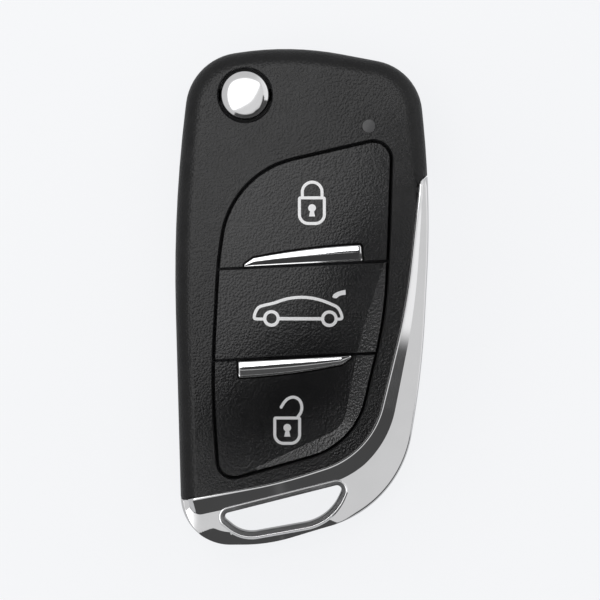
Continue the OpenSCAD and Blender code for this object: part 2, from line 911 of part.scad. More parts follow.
module transponder() {
    color([0.12, 0.12, 0.13])
        block(transponder_at, transponder_size, floor_t);
}

module coin_cell() {
    color(steel)
        translate([cell_at.x, cell_at.y, cell_z])
            rotate_extrude()
                polygon([
                    [0, 0],
                    [cell_d / 2 - 1.2, 0],
                    [cell_d / 2 - 1.1, 0.5],
                    [cell_d / 2 - 0.5, 0.6],
                    [cell_d / 2, 1.1],
                    [cell_d / 2, cell_t - 0.4],
                    [cell_d / 2 - 0.4, cell_t],
                    [0, cell_t]]);
}

// Leaf on top of the cell, hung from the board by two legs
module positive_contact() {
    z = cell_z + cell_t;
    color([0.75, 0.7, 0.55]) {
        block(cell_at, [cell_d * 0.6, 4, contact_t], z);
        for (side = [-1, 1])
            block(
                [cell_at.x + side * (cell_d * 0.3 - contact_t / 2), cell_at.y],
                [contact_t, 4, board_z - z],
                z);
    }
}

// Plate under the cell with a riser to the board
module negative_contact() {
    rise_y = cell_y - cell_d / 2 - 0.9;
    color([0.75, 0.7, 0.55]) {
        disc(cell_at, cell_d / 4, floor_t, cell_z);
        translate([cell_at.x - 1.5, rise_y, floor_t])
            cube([3, cell_y - rise_y, contact_t]);
        translate([cell_at.x - 1.5, rise_y, floor_t])
            cube([3, contact_t, board_z - floor_t]);
    }
}

module flip_head() {
    color([0.1, 0.1, 0.11])
        difference() {
            union() {
                disc(pivot, hub_r, hub_z, hub_top);
                disc(pivot, journal_r, journal_z, journal_top);
                translate([0, 0, split_z - neck_t / 2])
                    linear_extrude(neck_t)
                        neck_plan();
            }
            disc(pivot, release_bore_r, journal_z - 1, journal_top + 1);
            block(
                pivot,
                [2 * key_reach + 4 * run_fit, key_w + 4 * run_fit, hub_t + 5],
                key_z() - release_travel - fit);
            translate([blade_x - tang_w / 2 - run_fit, neck_end - 1, split_z - blade_t / 2 - run_fit])
                cube([tang_w + 2 * run_fit, tang_l + 1 + run_fit, blade_t + 2 * run_fit]);
            disc(pin_at, pin_d / 2 + run_fit / 2, hub_z, hub_top);
        }
}

// Lowest point of the release button's keys
function key_z() = hub_z + 3;

module key_blade() {
    color(steel)
        difference() {
            translate([0, 0, split_z - blade_t / 2])
                linear_extrude(blade_t) {
                    polygon([
                        [blade_x - tang_w / 2, neck_end],
                        [blade_x - tang_w / 2, tang_top],
                        [blade_x + tang_w / 2, tang_top],
                        [blade_x + tang_w / 2, neck_end],
                        [blade_x + blade_w / 2, neck_end],
                        [blade_x + blade_w / 2, tip_y + 2.4],
                        [blade_x + blade_w / 2 - 2.6, tip_y],
                        [blade_x - blade_w / 2 + 2.6, tip_y],
                        [blade_x - blade_w / 2, tip_y + 2.4],
                        [blade_x - blade_w / 2, neck_end]]);
                }
            for (side = [-1, 1])
                translate([
                    blade_x + side * 1.3 - groove_w / 2,
                    tip_y - 1,
                    split_z + side * blade_t / 2 - groove_d])
                    cube([groove_w, blade_l - 3, 2 * groove_d]);
            disc(pin_at, pin_d / 2 + run_fit / 2, hub_z, hub_top);
        }
}

module blade_pin() {
    color(steel)
        disc(pin_at, pin_d / 2, split_z - neck_t / 2, split_z + neck_t / 2);
}

// Hollow button with a domed top and two keys
module flip_button() {
    base_z = bore_z + release_travel + fit;
    crest = body_t + release_rise;
    dome_r = release_r - 0.5;
    color(chrome)
        difference() {
            union() {
                translate([pivot.x, pivot.y, 0])
                    rotate_extrude()
                        polygon(concat(
                            [[0, base_z], [release_r, base_z], [release_r, crest - 0.9]],
                            [for (k = [1 : 4])
                                [dome_r + 0.5 * cos(18 * k), crest - 0.9 + 0.5 * sin(18 * k)]],
                            [for (k = [1 : 6])
                                [dome_r * (1 - k / 6), crest - 0.41 * pow(1 - k / 6, 2)]]));
                block(pivot, [2 * key_reach, key_w, shoulder_z - fit - key_z()], key_z());
            }
            disc(pivot, coil_d / 2 + wire_d / 2 + 2 * fit, base_z - 1, shoulder_z - 0.4);
        }
}

// Torsion and return spring between the rear shell and the release button
module flip_spring() {
    z0 = bore_z + wire_d / 2;
    rise = shoulder_z - 0.4 - wire_d - bore_z;
    steps = 11 * coil_turns;
    color(steel)
        loft([for (i = [0 : steps])
            let (
                a = -360 * coil_turns * i / steps,
                z = z0 + rise * i / steps)
            [for (k = [0 : 5])
                let (rr = coil_d / 2 + wire_d / 2 * cos(60 * k))
                [pivot.x + rr * cos(a), pivot.y + rr * sin(a), z + wire_d / 2 * sin(60 * k)]]]);
}

front_shell();
rear_shell();
chrome_trim();
light_window();
lock_button();
upper_accent();
boot_button();
unlock_button();
lower_accent();
silicone_mat();
lock_plunger();
boot_plunger();
unlock_plunger();
lock_switch();
boot_switch();
unlock_switch();
circuit_board();
status_led();
control_chip();
radio_crystal();
antenna_coil();
transponder();
coin_cell();
positive_contact();
negative_contact();
flip_head();
key_blade();
blade_pin();
flip_button();
flip_spring();
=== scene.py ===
"""Looks of a flip-out car key fob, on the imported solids: grained black shells and caps, a chrome
trim with a keyring slot, two chrome bars, a domed release button and printed signs."""
import math

import bmesh
import bpy
import numpy as np
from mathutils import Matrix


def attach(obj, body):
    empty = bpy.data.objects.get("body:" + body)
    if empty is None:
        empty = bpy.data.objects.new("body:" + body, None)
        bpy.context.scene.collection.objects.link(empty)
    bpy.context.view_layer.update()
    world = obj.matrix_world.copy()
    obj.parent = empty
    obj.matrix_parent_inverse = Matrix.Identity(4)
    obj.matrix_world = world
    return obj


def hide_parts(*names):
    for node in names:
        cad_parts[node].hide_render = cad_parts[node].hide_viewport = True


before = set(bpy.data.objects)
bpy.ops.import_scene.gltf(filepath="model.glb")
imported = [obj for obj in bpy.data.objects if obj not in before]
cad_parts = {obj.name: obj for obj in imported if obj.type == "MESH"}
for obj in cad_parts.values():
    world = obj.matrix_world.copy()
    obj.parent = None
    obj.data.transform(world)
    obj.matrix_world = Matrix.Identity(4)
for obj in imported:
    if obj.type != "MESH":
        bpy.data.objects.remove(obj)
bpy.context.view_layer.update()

MM = 0.001

# Sizes shared with the solids, in millimetres
HALF_W, HALF_L = 19.15, 37.5
LEFT, RIGHT, TOP, BOTTOM = -HALF_W, HALF_W, HALF_L, -HALF_L
BODY_T = 14.0                    # over both shells
EDGE_R = 2.7                     # rounded edge of the shells
CAP_TOP = 14.1
CAP_GAP = 0.45                   # seam between two caps
LINE_TILT = math.radians(2.7)    # of the seams and bars, against the fob's width
PIVOT = (-8.6, 30.5)             # middle of the release button
WINDOW = (10.1, 25.8)            # middle of the light window
BLACK_FACE = ("front_shell", "lock_button", "boot_button", "unlock_button")

# Chrome trim: a lip along the black face, a bevel, and a flange out to the outline
LIP_W, LIP_RISE = 0.35, 0.15
BEVEL_W, BEVEL_DROP = 2.1, 1.7
BEVEL_RUN = 0.6                  # share of the rail over which the bevel grows
END_FROM, END_TO = 0.965, 0.993  # share of the rail over which the ridge closes at its left end
FACE_Z, BACK_Z = BODY_T + LIP_RISE, 0.05
TRIM_MID = (FACE_Z + BACK_Z) / 2
CROWN, FLANGE_R = 0.3, 0.6       # fall of the flange and radius of its edge
FLANGE_MIN_DROP = 0.05

# Bar below the keyring slot: the line (height at x = 0, rise) where its slanted face ends
BAR_LINE, BAR_END = (-30.56, 0.33), 5.6
BAR_SLANT, BAR_FACE_MAX, BAR_R = math.radians(35), 1.9, 0.25
BAR_FADE_X, BAR_FADE = 8.5, 2.5  # where its sharper edge has gone over into the flange's
BAR_EDGE_TOP, BAR_FACE_TOP = BOTTOM + 8, BOTTOM + 7

# Keyring slot: steps (outward, up) from the foot of its chamfer, and for the bead from its crest
SLOT_CHAMFER, SLOT_DEPTH = 0.8, 0.8
SLOT_FOOT = FACE_Z - BEVEL_DROP - CROWN / 2 - SLOT_DEPTH
BEAD_CREST = SLOT_FOOT + SLOT_DEPTH + 0.12
SLOT_CUT = [
    (0, -0.12), (0.02, -0.03), (0.07, 0.05), (0.16, 0.16),
    (SLOT_CHAMFER + 0.05, SLOT_DEPTH + 0.05), (SLOT_CHAMFER + 0.05, 2.2)]
LINING = [(-0.03, -0.1), (0, 0.03), (0.10, 0.16), (0.60, 0.69), (0.72, 0.5), (0.25, -0.3)]
BEAD = [
    (0.5, -0.4), (0.57, -0.1), (0.61, -0.02), (0.66, 0), (0.78, 0), (0.82, -0.02), (0.87, -0.1),
    (1.25, -0.42), (1.25, -1), (0.5, -1)]

# Chrome bars on the caps: wide end's x, seam's height at x = 0, length, and if turned half a turn
ACCENT_W, ACCENT_TIP, ACCENT_TIP_END = 2.5, 1.0, 0.3
ACCENT_RISE, ACCENT_BED, ACCENT_SLANT, ACCENT_CORNER = 0.6, 0.6, 1.5, 0.45
UPPER_BAR = (9.1, 4.8 + CAP_GAP / 2, 17.8, False)
LOWER_BAR = (-9.7, -9 - CAP_GAP / 2, 17.1, True)
PAINTED_SHADE_W = 0.26                    # width of the black strip round the bars, painted shade for the shadow in their gaps

# Release button
DOME_R, DOME_RISE, DOME_CREST, DOME_FOOT = 3.62, 1.0, 15.2, 4.6
DOME_POWER = 2.7

# Paint of the signs
STROKE, SILL_STROKE, WHEEL_STROKE = 0.45, 0.5, 0.48
PAINT = 0.02                     # half its thickness
LAYER = 0.004                    # each stroke of a sign lies this much above the one before

# Corners [x, y, radius] of the outlines, clockwise
BODY = [
    [LEFT + 2.4, TOP - 1.62, 8.7], [-1.7, TOP + 0.69, 46], [RIGHT - 1.6, TOP - 2.97, 8.3],
    [RIGHT + 0.38, TOP - 22.7, 153], [RIGHT - 0.96, BOTTOM + 26.6, 137],
    [RIGHT - 4.32, BOTTOM + 6.05, 17.2], [-5.1, BOTTOM + 0.03, 25.8],
    [LEFT + 1, BOTTOM - 0.02, 7.5], [LEFT - 0.36, TOP - 24.3, 207]]
RAIL = [
    [RIGHT - 0.45, TOP - 19.45, 0], [RIGHT - 1.38, TOP - 20.3, 0.9],
    [RIGHT - 3.5, BOTTOM + 35.9, 105], [RIGHT - 8.86, BOTTOM + 13.95, 12.9],
    [-3.2, BOTTOM + 9.6, 75], [LEFT + 1.25, BOTTOM + 6.82, 0]]
SLOT = [
    [-12.55, BOTTOM + 4.57, 0.7], [6.6, BOTTOM + 9.4, 0.75],
    [4.15, BOTTOM + 3.96, 7.1], [-8.9, BOTTOM + 1.63, 4.7]]


# Plan curves

def unit(v):
    """Vectors divided by their lengths."""
    return v / np.linalg.norm(v, axis=-1, keepdims=True)


def arc(centre, r, start, stop, n=40):
    """Part of a circle, angles in degrees."""
    a = np.radians(np.linspace(start, stop, n))
    return np.asarray(centre) + r * np.stack([np.cos(a), np.sin(a)], 1)


def corner_arc(a, b, c, r, n):
    """Arc that replaces corner b: the circle of radius r that touches both sides, between the points
    where it touches them."""
    u, v = unit(a - b), unit(c - b)
    half = math.acos(float(u @ v)) / 2
    centre = b + unit(u + v) * r / math.sin(half)
    first, last = (b + w * r / math.tan(half) - centre for w in (u, v))
    start = math.atan2(first[1], first[0])
    sweep = (math.atan2(last[1], last[0]) - start + math.pi) % (2 * math.pi) - math.pi
    angle = start + sweep * np.linspace(0, 1, n)
    return centre + r * np.stack([np.cos(angle), np.sin(angle)], 1)


def rounded(corners, closed=True, n=40):
    """Curve through corners [x, y, radius], each replaced by an arc of n points; an open curve keeps
    its ends."""
    c = np.array(corners, float)
    ring = range(len(c)) if closed else range(1, len(c) - 1)
    arcs = [corner_arc(c[i - 1, :2], c[i, :2], c[(i + 1) % len(c), :2], c[i, 2], n) for i in ring]
    return np.concatenate(arcs if closed else [c[:1, :2], *arcs, c[-1:, :2]])


def smoothed(path, rounds=3):
    """Corner cutting: each pass puts points at a quarter and three quarters of every side and keeps
    the ends."""
    for _ in range(rounds):
        a, b = path[:-1], path[1:]
        cut = np.stack([0.75 * a + 0.25 * b, 0.25 * a + 0.75 * b], 1).reshape(-1, 2)
        path = np.concatenate([path[:1], cut, path[-1:]])
    return path


def lengths(path):
    """Distance along a path at each of its points."""
    return np.concatenate([[0], np.cumsum(np.linalg.norm(np.diff(path, axis=0), axis=1))])


def at_lengths(path, marks):
    """Points of a path at given distances along it, straight between its own points."""
    s = lengths(path)
    return np.stack([np.interp(marks, s, path[:, k]) for k in range(path.shape[1])], 1)


def even(path, n, closed=False):
    """The path in n points at equal distances."""
    if closed:
        path = np.concatenate([path, path[:1]])
    marks = np.linspace(0, lengths(path)[-1], n + closed)
    return at_lengths(path, marks[:n])


def outward(path, closed=False):
    """Normal to the left of a path's way, which is outward on a clockwise curve."""
    if closed:
        along = np.roll(path, -1, 0) - np.roll(path, 1, 0)
    else:
        along = np.gradient(path, axis=0)
    return unit(np.stack([-along[:, 1], along[:, 0]], 1))


def ease(t):
    """Smooth step from 0 to 1: 3t^2 - 2t^3."""
    u = np.clip(t, 0, 1)
    return u * u * (3 - 2 * u)


# Meshes

def piece(name, points, faces, material, body=None, nodes=(), sharp=35):
    """Object from points in millimetres, with its faces turned outward, shaded smooth except across
    edges sharper than the given angle."""
    mesh = bpy.data.meshes.new(name)
    mesh.from_pydata(np.asarray(points) * MM, [], faces)
    obj = bpy.data.objects.new(name, mesh)
    bpy.context.scene.collection.objects.link(obj)
    finished(obj, material, body, nodes, sharp)
    bm = bmesh.new()
    bm.from_mesh(mesh)
    bmesh.ops.recalc_face_normals(bm, faces=bm.faces)
    bm.to_mesh(mesh)
    bm.free()
    return obj


def finished(obj, material, body, nodes, sharp):
    """Shades an object and gives it its finish; given a body, hides the solids that it stands for and hangs
    it on the body's empty.
    """
    mesh = obj.data
    mesh.validate()
    mesh.shade_smooth()
    mesh.set_sharp_from_angle(angle=math.radians(sharp))
    mesh.materials.clear()
    mesh.materials.append(material)
    if body:
        if nodes:
            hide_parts(*nodes)
        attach(obj, body)


def tube_faces(m, n, loop=False):
    """Quads between m rings of n points each, with both ends closed, or the last ring joined to the first."""
    k, i = np.meshgrid(np.arange(m if loop else m - 1), np.arange(n), indexing="ij")
    a, b = k * n + i, k * n + (i + 1) % n
    c, d = ((k + 1) % m) * n + (i + 1) % n, ((k + 1) % m) * n + i
    quads = np.stack([a, b, c, d], -1).reshape(-1, 4).tolist()
    if loop:
        return quads
    return quads + [list(range(n))[::-1], [(m - 1) * n + j for j in range(n)]]


def swept(name, rings, material, body=None, nodes=(), loop=False):
    """Piece whose surface runs from ring to ring."""
    faces = tube_faces(*rings.shape[:2], loop)
    return piece(name, rings.reshape(-1, 3), faces, material, body, nodes)


def revolved(name, profile, centre, n, material, body=None, nodes=()):
    """Piece turned about an upright axis: x = cx + r cos a, y = cy + r sin a for each (r, z) of a profile."""
    r, z = np.array(profile, float).T[:, :, None]
    angle = np.linspace(0, 2 * math.pi, n, endpoint=False)
    rings = np.stack([
        centre[0] + r * np.cos(angle), centre[1] + r * np.sin(angle), np.broadcast_to(z, (len(z), n))], 2)
    return swept(name, rings, material, body, nodes)


def softened(section, radii, steps):
    """Section curves with each corner k replaced by a parabola that starts radii[k] before it and ends
    as far after it, but within its own half of each side."""
    out = []
    last = section.shape[1] - 1
    half_side = 0.45
    u = np.linspace(0, 1, steps)[None, :, None]
    for k, r in enumerate(radii):
        p = section[:, k:k + 1]
        if r == 0 or k in (0, last):
            out.append(p)
            continue
        before, after = section[:, k - 1:k] - p, section[:, k + 1:k + 2] - p
        start, end = (
            p + side * np.minimum(r / np.linalg.norm(side, axis=2, keepdims=True), half_side)
            for side in (before, after))
        out.append((1 - u) ** 2 * start + 2 * u * (1 - u) * p + u ** 2 * end)
    return np.concatenate(out, 1)


def set_up(origin, way, section):
    """Sections (w, z) placed in space: origin + way * w in plan, at height z."""
    plan = origin[:, None] + way[:, None] * section[:, :, :1]
    return np.concatenate([plan, section[:, :, 1:]], 2)


def combined(base, other, operation):
    """Gives the first of two closed objects the mesh of their boolean and removes the second."""
    modifier = base.modifiers.new("join", "BOOLEAN")
    modifier.operation, modifier.object, modifier.solver = operation, other, "EXACT"
    graph = bpy.context.evaluated_depsgraph_get()
    made = bpy.data.meshes.new_from_object(base.evaluated_get(graph))
    base.modifiers.clear()
    base.data = made
    bpy.data.objects.remove(other)


def crease_flats(mesh):
    """Marks the edges between level faces and all others as sharp, so that level faces are shaded evenly."""
    upright = 0.99999
    size, edges = np.empty(len(mesh.polygons), int), np.empty(len(mesh.loops), int)
    normals, sharp = np.empty(3 * len(size)), np.empty(len(mesh.edges), bool)
    mesh.polygons.foreach_get("loop_total", size)
    mesh.polygons.foreach_get("normal", normals)
    mesh.loops.foreach_get("edge_index", edges)
    mesh.edges.foreach_get("use_edge_sharp", sharp)
    level = np.repeat(np.abs(normals.reshape(-1, 3)[:, 2]) > upright, size)
    faces = np.maximum(np.bincount(edges, minlength=len(sharp)), 1)
    share = np.bincount(edges, level, len(sharp)) / faces
    mesh.edges.foreach_set("use_edge_sharp", sharp | ((share > 0) & (share < 1)))


def smooth_solid(node, material, body, sharp, cutter=None):
    """Copy of a solid's triangles, merged where they meet, less the cutter, and shaded smooth with the
    large faces kept flat, in place of the solid."""
    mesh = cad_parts[node].data.copy()
    bm = bmesh.new()
    bm.from_mesh(mesh)
    bmesh.ops.remove_doubles(bm, verts=bm.verts, dist=1e-7)
    bm.to_mesh(mesh)
    bm.free()
    obj = bpy.data.objects.new(node + "_skin", mesh)
    bpy.context.scene.collection.objects.link(obj)
    if cutter:
        combined(obj, cutter, "DIFFERENCE")
    finished(obj, material, body, (node,), sharp)
    crease_flats(obj.data)
    even_shade = obj.modifiers.new("even_shade", "WEIGHTED_NORMAL")
    even_shade.keep_sharp = True


# Finishes

class Wire:
    """One output socket of a node tree. Sums, differences and products of wires and numbers add nodes."""

    def __init__(self, tree, socket=None):
        self.tree, self.socket = tree, socket

    def node(self, kind, settings=None, inputs=None, output=0):
        """Adds a node, sets it up, sets or joins its inputs, and returns one of its outputs."""
        made = self.tree.nodes.new("ShaderNode" + kind)
        for key, value in (settings or {}).items():
            setattr(made, key, value)
        for key, value in (inputs or {}).items():
            if isinstance(value, Wire):
                value.into(made.inputs[key])
            else:
                made.inputs[key].default_value = value
        return Wire(self.tree, made.outputs[output])

    def into(self, socket):
        """Joins this output to an input socket."""
        self.tree.links.new(self.socket, socket)

    def math(self, operation, a, b):
        return self.node("Math", {"operation": operation}, {0: a, 1: b})

    def __add__(self, other):
        return self.math("ADD", self, other)

    def __sub__(self, other):
        return self.math("SUBTRACT", self, other)

    def __rsub__(self, other):
        return self.math("SUBTRACT", other, self)

    def __mul__(self, other):
        return self.math("MULTIPLY", self, other)

    __radd__, __rmul__ = __add__, __mul__

    def between(self, low, high):
        """0 at low and before it, 1 at high and beyond it, smooth between them; low may be the greater."""
        return self.node(
            "MapRange", {"interpolation_type": "SMOOTHSTEP"},
            {"Value": self, "From Min": low, "From Max": high})

    def blend(self, first, second):
        """Colour from first to second as this wire goes from 0 to 1."""
        return self.node("Mix", {"data_type": "RGBA"}, {0: self, 6: first, 7: second}, 2)

    def part(self, k):
        """Coordinate k of this vector."""
        return self.node("SeparateXYZ", None, {0: self}, k)

    def along(self, way):
        """Length of this vector along a direction."""
        return self.node("VectorMath", {"operation": "DOT_PRODUCT"}, {0: self, 1: way}, "Value")

    def noise(self, size_mm, detail=3.0):
        """Cloudy value from 0 to 1 at this place, in patches about size_mm across."""
        return self.node("TexNoise", None, {
            "Vector": self, "Scale": 1 / (size_mm * MM), "Detail": detail, "Roughness": 0.5})


def finish(name, tones, patch_mm, rough, spread=0.1, bumps=(), stretch=(1, 1, 1), matt_below=None, **fixed):
    """Finish whose colour drifts between two tones in patches, whose roughness drifts by the spread, and
    whose surface is raised by bumps (kind, size in mm, strength, height in mm). Stretch draws the bumps
    out, the surface turns matt below the height matt_below in mm, and fixed sets other sockets."""
    matt_band = 0.2
    material = bpy.data.materials.new(name)
    material.use_nodes = True
    tree = material.node_tree
    sockets = tree.nodes["Principled BSDF"].inputs
    wire = Wire(tree)
    place = wire.node("TexCoord", None, None, "Object")
    bump_place = wire.node("Mapping", None, {"Vector": place, "Scale": stretch})
    place.noise(patch_mm).between(0.3, 0.7).blend(*((*tone, 1) for tone in tones)).into(sockets["Base Color"])
    roughness = rough + (bump_place.noise(patch_mm / 3) - 0.5) * spread
    if matt_below:
        matt = place.part(2).between(matt_below * MM, (matt_below - matt_band) * MM)
        roughness = roughness + (1 - rough) * matt
    roughness.into(sockets["Roughness"])
    normal = None
    for kind, size_mm, strength, height_mm in bumps:
        if kind == "leather":
            cells = wire.node("TexVoronoi", {"feature": "SMOOTH_F1"}, {
                "Vector": bump_place, "Scale": 1 / (size_mm * MM), "Smoothness": 0.6})
            relief = cells.between(0.9, 0.1)
        else:
            relief = bump_place.noise(size_mm, 2.0)
        inputs = {"Strength": strength, "Distance": height_mm * MM, "Height": relief}
        if normal:
            inputs["Normal"] = normal
        normal = wire.node("Bump", None, inputs)
    if normal:
        normal.into(sockets["Normal"])
    for key, value in fixed.items():
        sockets[key.replace("_", " ")].default_value = value
    return material


def fine(size_mm, strength, height_mm=0.01):
    """Fine bumps of one size."""
    return (("fine", size_mm, strength, height_mm),)


def grain(strength):
    """Leather grain of the black plastic, with finer bumps on it."""
    return (("leather", 0.32, strength, 0.05), *fine(0.16, 0.4, 0.02))


# Black plastic and chrome, as seen from outside
shell_plastic = finish(
    "grained_shell_plastic", [(0.007, 0.007, 0.0075), (0.010, 0.010, 0.0105)], patch_mm=3, rough=0.34,
    bumps=grain(0.6), Specular_IOR_Level=0.29)
cap_plastic = finish(
    "grained_cap_plastic", [(0.007, 0.007, 0.0078), (0.010, 0.010, 0.0108)], patch_mm=3, rough=0.30,
    spread=0.08, bumps=grain(0.44), matt_below=13.3, Specular_IOR_Level=0.36)
trim_chrome = finish(
    "trim_chrome", [(0.86, 0.86, 0.87), (0.83, 0.83, 0.84)], patch_mm=6, rough=0.055, spread=0.03,
    bumps=fine(1.2, 0.02), Metallic=1.0)
lining_metal = finish(
    "dark_lining_metal", [(0.42, 0.42, 0.425), (0.46, 0.46, 0.465)], patch_mm=2, rough=0.3,
    bumps=fine(0.3, 0.1), Metallic=0.85)
accent_chrome = finish(
    "bar_chrome", [(0.90, 0.90, 0.91), (0.87, 0.87, 0.88)], patch_mm=3, rough=0.11, spread=0.05,
    bumps=fine(0.8, 0.03), Metallic=1.0)
release_chrome = finish(
    "button_chrome", [(0.92, 0.92, 0.93), (0.89, 0.89, 0.90)], patch_mm=3, rough=0.10, spread=0.04,
    bumps=fine(0.9, 0.03), Metallic=1.0)
# Matt black for the strips round the chrome bars: painted shade in place of the shadow in the gaps round
# them.
painted_shade_black = finish(
    "matt_painted_shade_black", [(0.003, 0.003, 0.003), (0.004, 0.004, 0.004)], patch_mm=1, rough=0.9,
    bumps=fine(0.2, 0.1), Specular_IOR_Level=0.1)
# The signs' white paint also glows a little: painted light that makes up for the shade the dark card throws
# on them.
glowing_sign_finish = finish(
    "white_signs_with_painted_glow", [(0.80, 0.80, 0.81), (0.76, 0.76, 0.77)], patch_mm=0.8, rough=0.5,
    bumps=fine(0.2, 0.1), Emission_Color=(0.8, 0.8, 0.81, 1), Emission_Strength=0.15)
window_plastic = finish(
    "smoked_window", [(0.036, 0.036, 0.038), (0.048, 0.048, 0.05)], patch_mm=0.7, rough=0.34,
    bumps=fine(0.15, 0.1))
head_plastic = finish(
    "smooth_head_plastic", [(0.010, 0.010, 0.011), (0.014, 0.014, 0.015)], patch_mm=2, rough=0.5,
    bumps=fine(0.2, 0.12, 0.02), Specular_IOR_Level=0.2)
blade_steel = finish(
    "milled_blade_steel", [(0.60, 0.60, 0.61), (0.52, 0.52, 0.53)], patch_mm=4, rough=0.24, spread=0.12,
    bumps=fine(0.35, 0.12), stretch=(1, 0.04, 1), Metallic=1.0)

# Pieces inside
mat_silicone = finish(
    "grey_silicone", [(0.03, 0.03, 0.034), (0.045, 0.045, 0.05)], patch_mm=2, rough=0.7,
    bumps=fine(0.3, 0.1, 0.02))
plunger_plastic = finish(
    "pale_plunger_plastic", [(0.7, 0.7, 0.67), (0.62, 0.62, 0.6)], patch_mm=0.6, rough=0.4)
switch_metal = finish(
    "switch_tinplate", [(0.6, 0.6, 0.6), (0.5, 0.5, 0.5)], patch_mm=1, rough=0.3, Metallic=1.0)
board_laminate = finish(
    "green_board", [(0.01, 0.09, 0.04), (0.015, 0.12, 0.055)], patch_mm=1.5, rough=0.35,
    bumps=fine(0.4, 0.2, 0.02))
led_body = finish("light_body", [(0.8, 0.76, 0.5), (0.75, 0.7, 0.45)], patch_mm=0.5, rough=0.3)
chip_plastic = finish(
    "chip_resin", [(0.02, 0.02, 0.02), (0.03, 0.03, 0.03)], patch_mm=0.7, rough=0.55, bumps=fine(0.1, 0.2))
crystal_can = finish(
    "crystal_can", [(0.62, 0.6, 0.55), (0.54, 0.52, 0.48)], patch_mm=1, rough=0.28, Metallic=1.0)
coil_ferrite = finish(
    "coil_windings", [(0.17, 0.07, 0.03), (0.06, 0.05, 0.05)], patch_mm=0.5, rough=0.45,
    bumps=fine(0.3, 0.4, 0.05), stretch=(0.1, 1, 1))
transponder_resin = finish(
    "transponder_resin", [(0.02, 0.02, 0.022), (0.03, 0.03, 0.032)], patch_mm=1.5, rough=0.5)
cell_steel = finish(
    "cell_steel", [(0.66, 0.66, 0.66), (0.58, 0.58, 0.58)], patch_mm=3, rough=0.26,
    bumps=fine(0.3, 0.05), Metallic=1.0)
contact_metal = finish(
    "contact_brass", [(0.72, 0.6, 0.36), (0.64, 0.52, 0.3)], patch_mm=2, rough=0.3, Metallic=1.0)
pin_steel = finish("pin_steel", [(0.5, 0.5, 0.5), (0.42, 0.42, 0.42)], patch_mm=0.8, rough=0.3, Metallic=1.0)
spring_steel = finish(
    "spring_steel", [(0.48, 0.48, 0.49), (0.4, 0.4, 0.41)], patch_mm=0.8, rough=0.3, Metallic=1.0)


# Chrome trim

def edge_drop(d):
    """Fall of the shells' rounded edge at distance d inside the outline: a quarter circle."""
    inside = np.clip(EDGE_R - d, 0, EDGE_R)
    return EDGE_R - np.sqrt(EDGE_R ** 2 - inside ** 2)


def passing(loop, y, side):
    """Distance along the loop at which it first passes height y on the given side."""
    s = lengths(loop)
    a, b = loop[:-1], loop[1:]
    hit = np.flatnonzero((a[:, 0] * side > 0) & ((a[:, 1] - y) * (b[:, 1] - y) <= 0))[0]
    return s[hit] + (s[hit + 1] - s[hit]) * (a[hit, 1] - y) / (a[hit, 1] - b[hit, 1])


def mirrored(half):
    """Front half of a section followed by its mirror image about the trim's middle height."""
    back = half[:, ::-1].copy()
    back[:, :, 1] = 2 * TRIM_MID - back[:, :, 1]
    return np.concatenate([half, back], 1)


def trim_curves(n, fineness=500):
    """Rail along the black face and edge along the outline, n points each from upper right to lower left."""
    above_right, above_left = 0.12, 0.3
    rail = even(rounded(RAIL, False, fineness), n)
    loop = rounded(BODY, True, fineness)
    loop = np.concatenate([loop, loop[:1]])
    first, last = passing(loop, rail[0, 1] + above_right, 1), passing(loop, rail[-1, 1] + above_left, -1)
    return rail, at_lengths(loop, first + (last - first) * np.linspace(0, 1, n))


def trim_ridge(t, rail, room, lip_z, flange_z):
    """Lip and bevel swept square to the rail, at share t of its way: up to lip_z, level over the lip, and
    down the bevel to just below flange_z. Near the upper right it stays within its share of the room, and
    at the left end the bevel closes by (1 - 0.92 e^2)^0.5."""
    lip_share, bevel_share, early = 0.2, 0.35, t < 0.5
    lip_round, crest_round, dip, bury = 0.08, 0.1, 0.2, 1.0
    closing, lowering = 0.92, 0.08
    grown = BEVEL_W * np.minimum(1, t / BEVEL_RUN)
    lip = np.where(early, np.minimum(LIP_W, lip_share * room), LIP_W)
    bevel = np.where(early, np.minimum(grown, bevel_share * room), grown)
    end = np.clip((t - END_FROM) / (END_TO - END_FROM), 0, 1)
    foot = lip + bevel * np.sqrt(1 - closing * end ** 2)
    zero = np.zeros(len(t))
    half = np.stack([
        np.stack([zero, flange_z - bury], 1), np.stack([zero, lip_z], 1), np.stack([lip, lip_z], 1),
        np.stack([foot + dip * BEVEL_W / BEVEL_DROP, flange_z - dip], 1)], 1)
    section = mirrored(softened(half, (0, lip_round, crest_round, 0), 5))
    section[:, :, 1] += (TRIM_MID - section[:, :, 1]) * lowering * end[:, None] ** 4
    return set_up(rail, outward(rail), section)[t <= END_TO]


